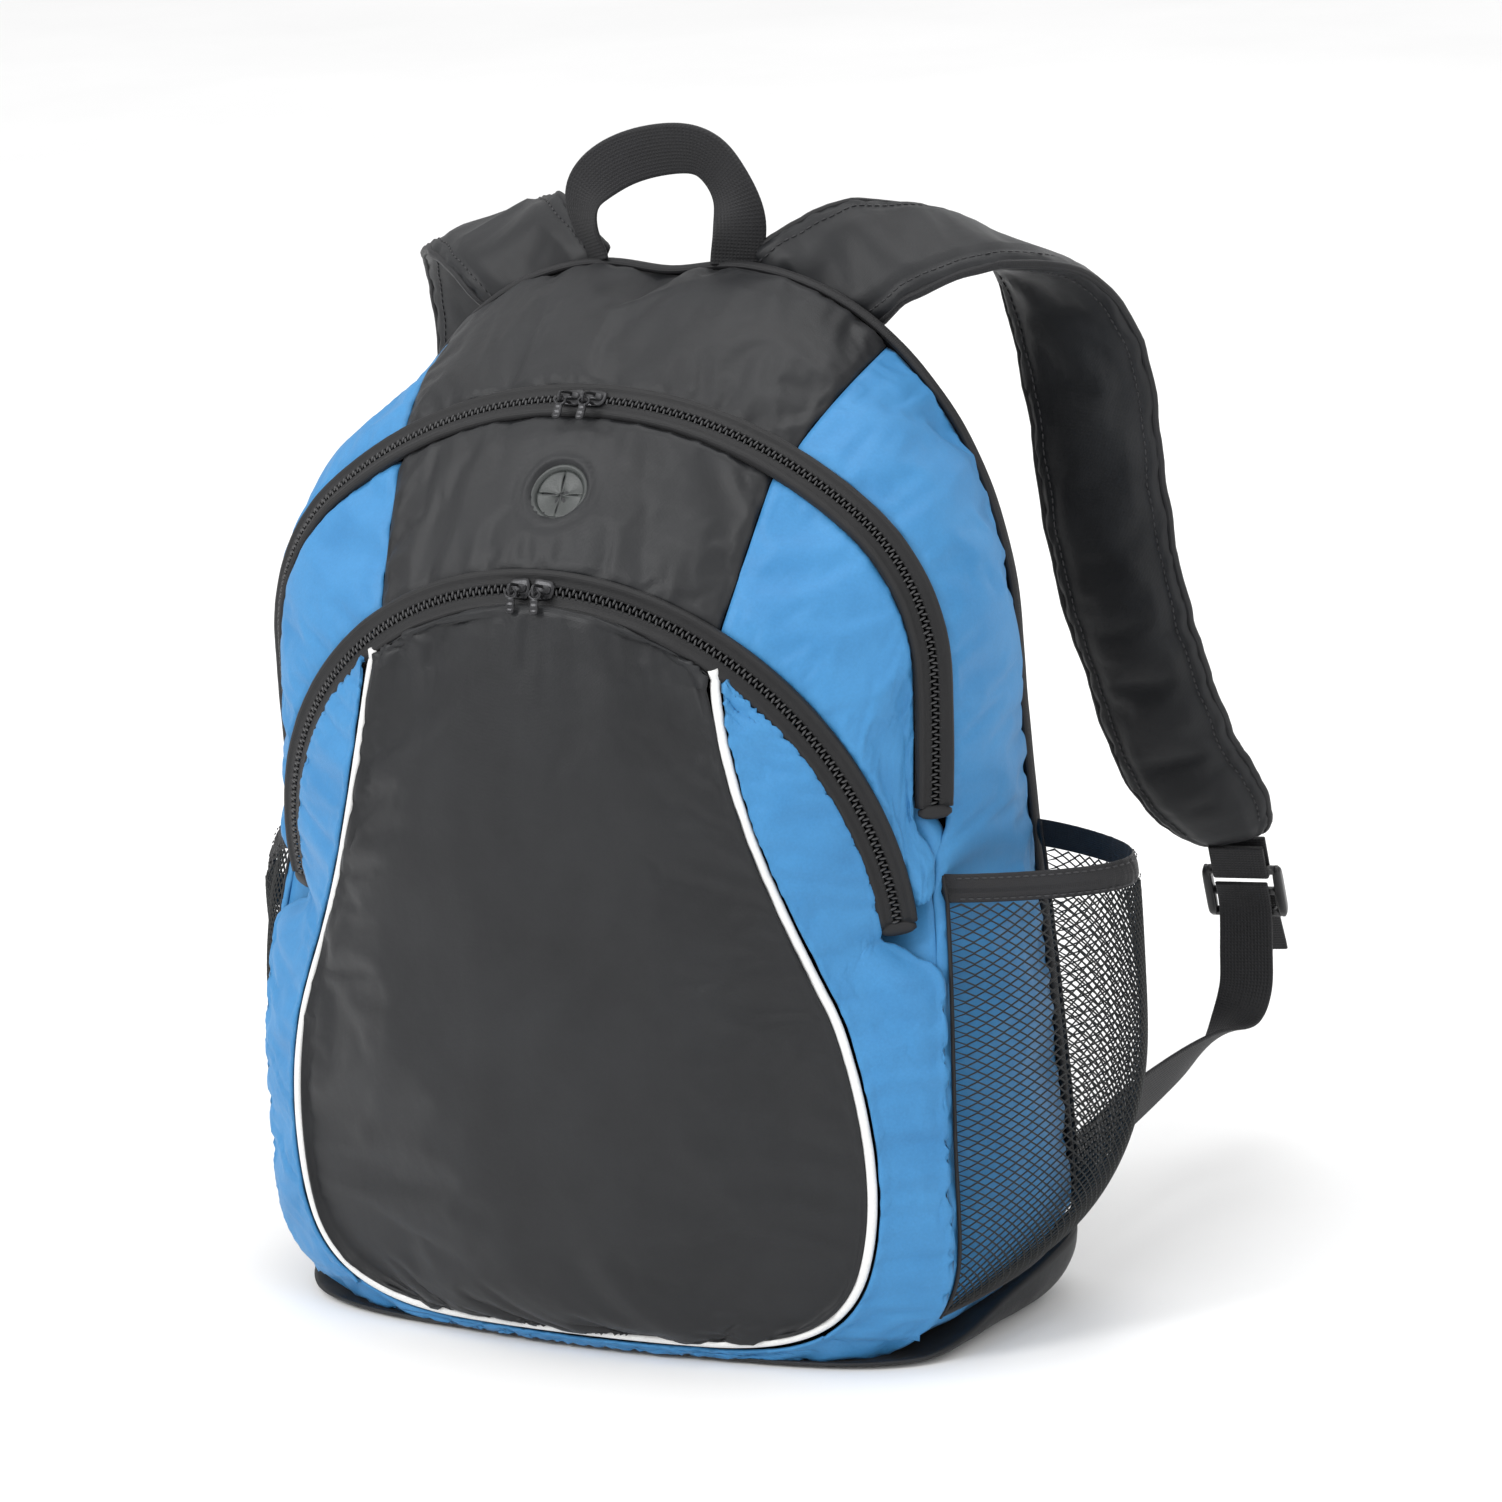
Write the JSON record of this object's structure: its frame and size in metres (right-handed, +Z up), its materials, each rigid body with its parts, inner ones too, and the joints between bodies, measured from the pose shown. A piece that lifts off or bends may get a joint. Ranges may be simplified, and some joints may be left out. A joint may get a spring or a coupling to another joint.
{
  "type": "daypack",
  "caption": "Soft daypack with padded shoulder straps, arched zips over a main compartment and front pocket, mesh bottle pockets, a headphone port and a webbing grab handle.",
  "frame": {"origin": "middle of the flat base", "axes": "+Z up, +X to the right-hand side seen from the front, +Y from the front pocket towards the wearer's back"},
  "size_m": [0.4275, 0.3568, 0.4975],
  "materials": {
    "black_polyester": "satin",
    "blue_polyester": "satin",
    "bottle_mesh": "matte",
    "elastic_binding": "matte",
    "spacer_mesh": "matte",
    "padded_polyester": "satin",
    "webbing": "matte",
    "zip_tape": "matte",
    "zip_coil": "satin",
    "zip_hardware": "satin",
    "stitching": "matte",
    "white_piping": "matte",
    "port_rubber": "matte",
    "buckle_plastic": "satin"
  },
  "bodies": {
    "pack": {"back_panel": "black_polyester", "back_padding": "spacer_mesh", "top_panel": "black_polyester", "side_panel_left": "blue_polyester", "side_panel_right": "blue_polyester", "base_panel": "black_polyester", "main_front_center": "black_polyester", "main_front_left": "blue_polyester", "main_front_right": "blue_polyester", "main_zip_tape_rear": "zip_tape", "main_zip_tape_front": "zip_tape", "main_zip_coil": "zip_coil", "pocket_zip_tape_upper": "zip_tape", "pocket_zip_tape_lower": "zip_tape", "pocket_zip_coil": "zip_coil", "zip_end_stops": "stitching", "pocket_back_wall": "black_polyester", "pocket_center": "black_polyester", "pocket_side_left": "blue_polyester", "pocket_side_right": "blue_polyester", "pocket_bottom_band": "blue_polyester", "white_piping": "white_piping", "headphone_port_ring": "port_rubber", "port_membrane": "port_rubber", "port_backing_washer": "port_rubber", "mesh_pocket_left": "bottle_mesh", "mesh_pocket_right": "bottle_mesh", "pocket_band_left": "elastic_binding", "pocket_band_right": "elastic_binding", "strap_yoke": "black_polyester", "anchor_tab_left": "webbing", "anchor_tab_right": "webbing", "bar_tacks": "stitching", "lower_webbing_left": "webbing", "lower_webbing_right": "webbing"},
    "grab_handle": {"handle_webbing": "webbing"},
    "strap_left": {"strap_pad_left": "padded_polyester", "buckle_loop_left": "webbing", "ladder_lock_left": "buckle_plastic", "webbing_tail_left": "webbing"},
    "main_runner_left": {"main_slider_left": "zip_hardware"},
    "pocket_runner_left": {"pocket_slider_left": "zip_hardware"},
    "main_tab_left": {"main_pull_left": "zip_hardware"},
    "pocket_tab_left": {"pocket_pull_left": "zip_hardware"},
    "strap_right": {"strap_pad_right": "padded_polyester", "buckle_loop_right": "webbing", "ladder_lock_right": "buckle_plastic", "webbing_tail_right": "webbing"},
    "main_runner_right": {"main_slider_right": "zip_hardware"},
    "pocket_runner_right": {"pocket_slider_right": "zip_hardware"},
    "main_tab_right": {"main_pull_right": "zip_hardware"},
    "pocket_tab_right": {"pocket_pull_right": "zip_hardware"}
  },
  "joints": [
    {"name": "handle_swing", "type": "hinge", "parent": "pack", "child": "grab_handle", "pos_m": [0, 0.074, 0.4415], "axis": [1, 0, 0], "range_deg": [0, 30]},
    {"name": "strap_right_swing", "type": "hinge", "parent": "pack", "child": "strap_right", "pos_m": [0.08, 0.076, 0.409], "axis": [-1, 0, 0], "range_deg": [0, 12], "deforming": ["lower_webbing_right"]},
    {"name": "main_slider_right_run", "type": "hinge", "parent": "pack", "child": "main_runner_right", "pos_m": [0, -0.02378, 0.2], "axis": [0, 0.999, -0.0436], "range_deg": [0, 35]},
    {"name": "pocket_slider_right_run", "type": "hinge", "parent": "pack", "child": "pocket_runner_right", "pos_m": [0, -0.036, 0.191], "axis": [0, 0.9767, 0.2147], "range_deg": [0, 80]},
    {"name": "main_tab_right_flip", "type": "hinge", "parent": "main_runner_right", "child": "main_tab_right", "pos_m": [0.0055, -0.0226, 0.3992], "axis": [-1, 0, 0], "range_deg": [0, 100]},
    {"name": "pocket_tab_right_flip", "type": "hinge", "parent": "pocket_runner_right", "child": "pocket_tab_right", "pos_m": [0.0055, -0.0758, 0.3304], "axis": [-1, 0, 0], "range_deg": [0, 100]},
    {"name": "strap_left_swing", "type": "hinge", "parent": "pack", "child": "strap_left", "pos_m": [-0.08, 0.076, 0.409], "axis": [-1, 0, 0], "range_deg": [0, 12], "deforming": ["lower_webbing_left"]},
    {"name": "main_slider_left_run", "type": "hinge", "parent": "pack", "child": "main_runner_left", "pos_m": [0, -0.02378, 0.2], "axis": [0, -0.999, 0.0436], "range_deg": [0, 35]},
    {"name": "pocket_slider_left_run", "type": "hinge", "parent": "pack", "child": "pocket_runner_left", "pos_m": [0, -0.036, 0.191], "axis": [0, -0.9767, -0.2147], "range_deg": [0, 80]},
    {"name": "main_tab_left_flip", "type": "hinge", "parent": "main_runner_left", "child": "main_tab_left", "pos_m": [-0.0055, -0.0226, 0.3992], "axis": [-1, 0, 0], "range_deg": [0, 100]},
    {"name": "pocket_tab_left_flip", "type": "hinge", "parent": "pocket_runner_left", "child": "pocket_tab_left", "pos_m": [-0.0055, -0.0758, 0.3304], "axis": [-1, 0, 0], "range_deg": [0, 100]}
  ]
}
